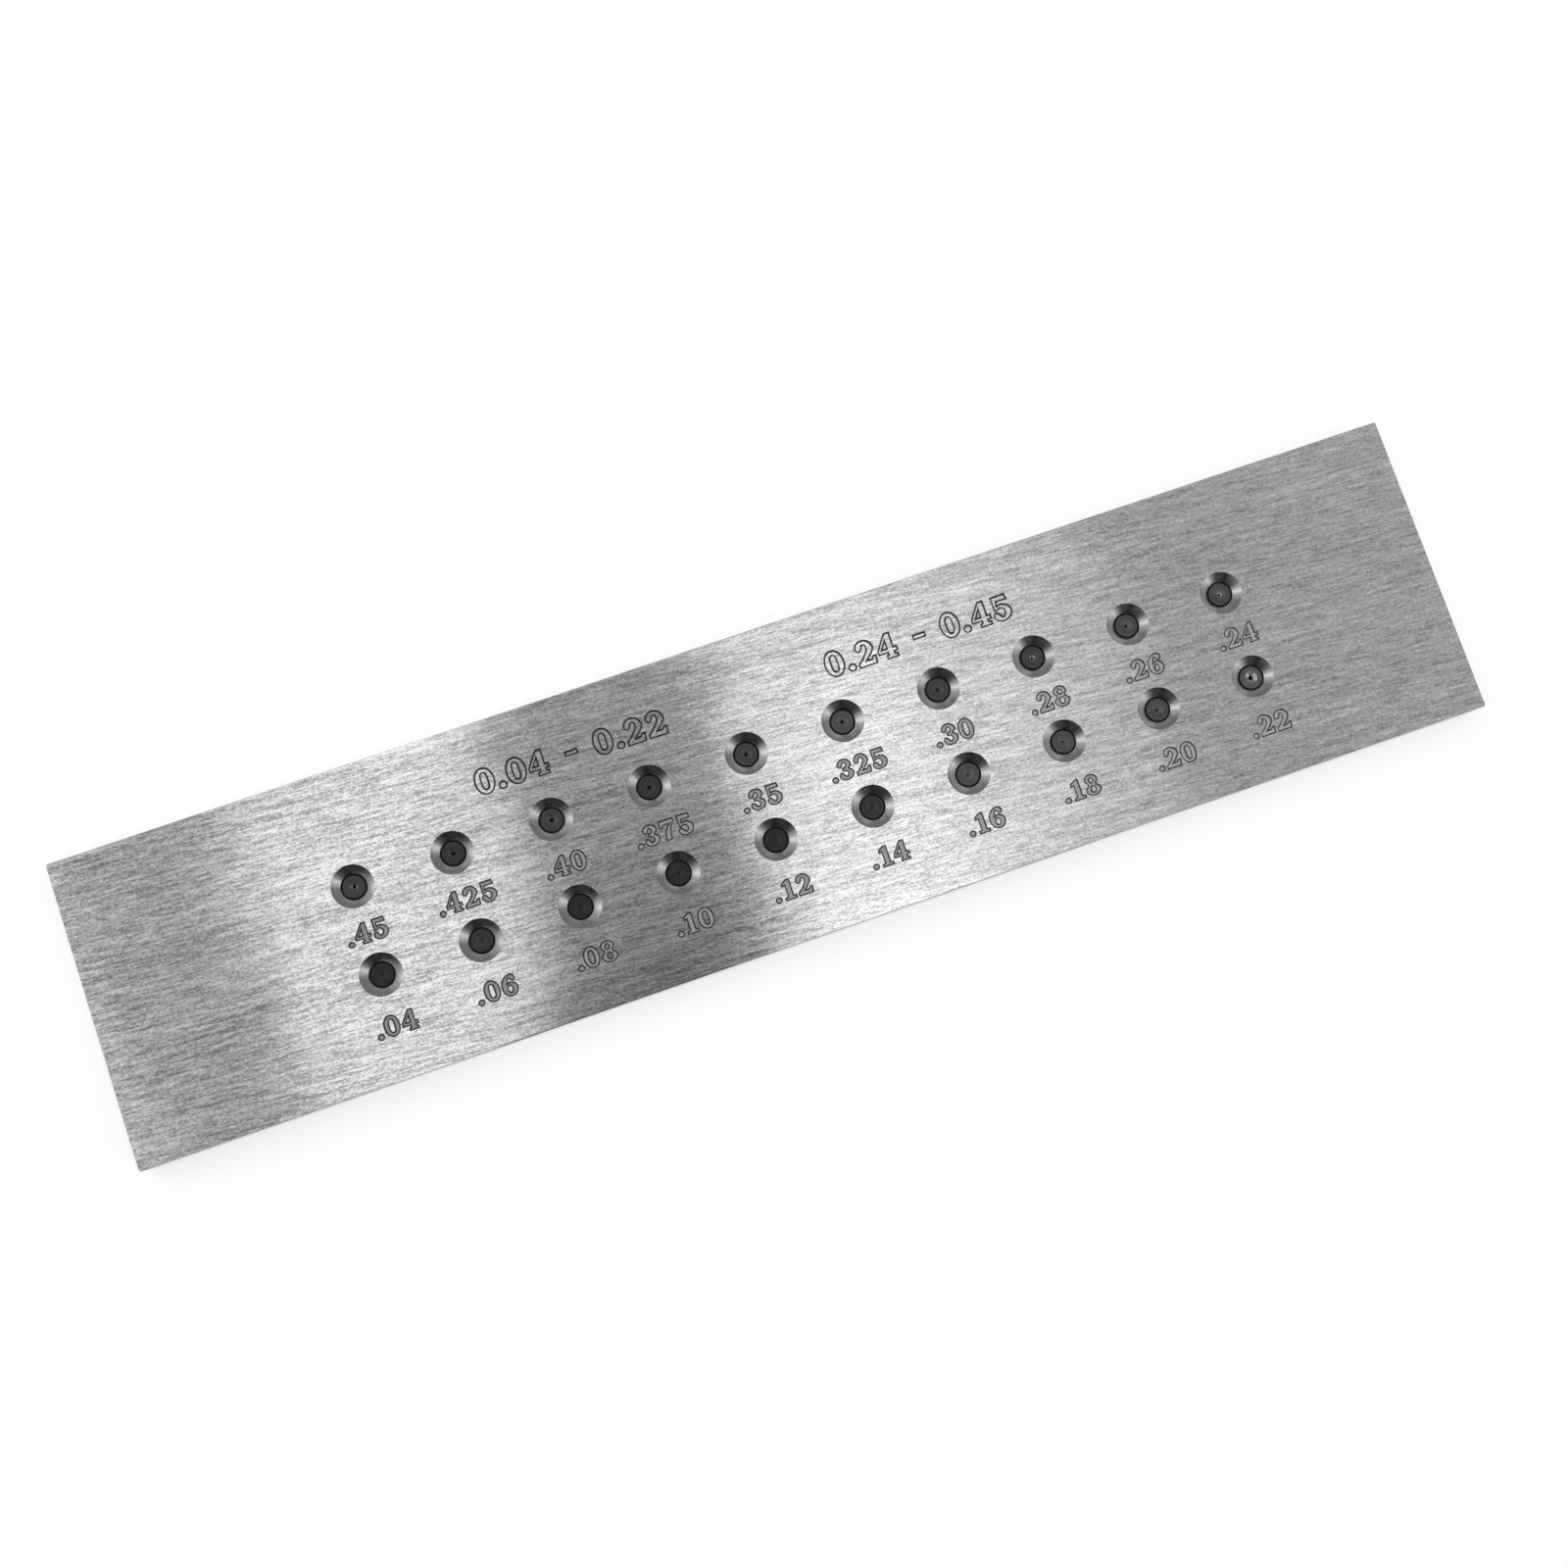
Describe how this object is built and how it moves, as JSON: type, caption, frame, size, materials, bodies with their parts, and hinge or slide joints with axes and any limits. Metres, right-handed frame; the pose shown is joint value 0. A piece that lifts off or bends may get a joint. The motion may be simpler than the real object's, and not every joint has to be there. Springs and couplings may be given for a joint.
{
  "type": "wire draw plate",
  "caption": "Flat steel bar with two rows of countersunk holes, each holding a pressed-in carbide die nib through which wire is pulled to a smaller diameter.",
  "frame": {"origin": "centre of the back face of the bar, the face that lies on the bench", "axes": "+X along the bar, the way the size numbers read, +Y across the bar towards the row of larger dies, +Z out of the numbered face, the way the wire leaves"},
  "size_m": [0.2286, 0.0508, 0.0063],
  "materials": {
    "plate_steel": "ground along the length, satin, with fine scratches",
    "nib_carbide": "lapped sintered carbide, dark grey, semi-matte with a polished bore"
  },
  "bodies": {
    "root": {"plate": "plate_steel", "die_nib_40um": "nib_carbide", "die_nib_60um": "nib_carbide", "die_nib_80um": "nib_carbide", "die_nib_100um": "nib_carbide", "die_nib_120um": "nib_carbide", "die_nib_140um": "nib_carbide", "die_nib_160um": "nib_carbide", "die_nib_180um": "nib_carbide", "die_nib_200um": "nib_carbide", "die_nib_220um": "nib_carbide", "die_nib_450um": "nib_carbide", "die_nib_425um": "nib_carbide", "die_nib_400um": "nib_carbide", "die_nib_375um": "nib_carbide", "die_nib_350um": "nib_carbide", "die_nib_325um": "nib_carbide", "die_nib_300um": "nib_carbide", "die_nib_280um": "nib_carbide", "die_nib_260um": "nib_carbide", "die_nib_240um": "nib_carbide"}
  },
  "joints": []
}
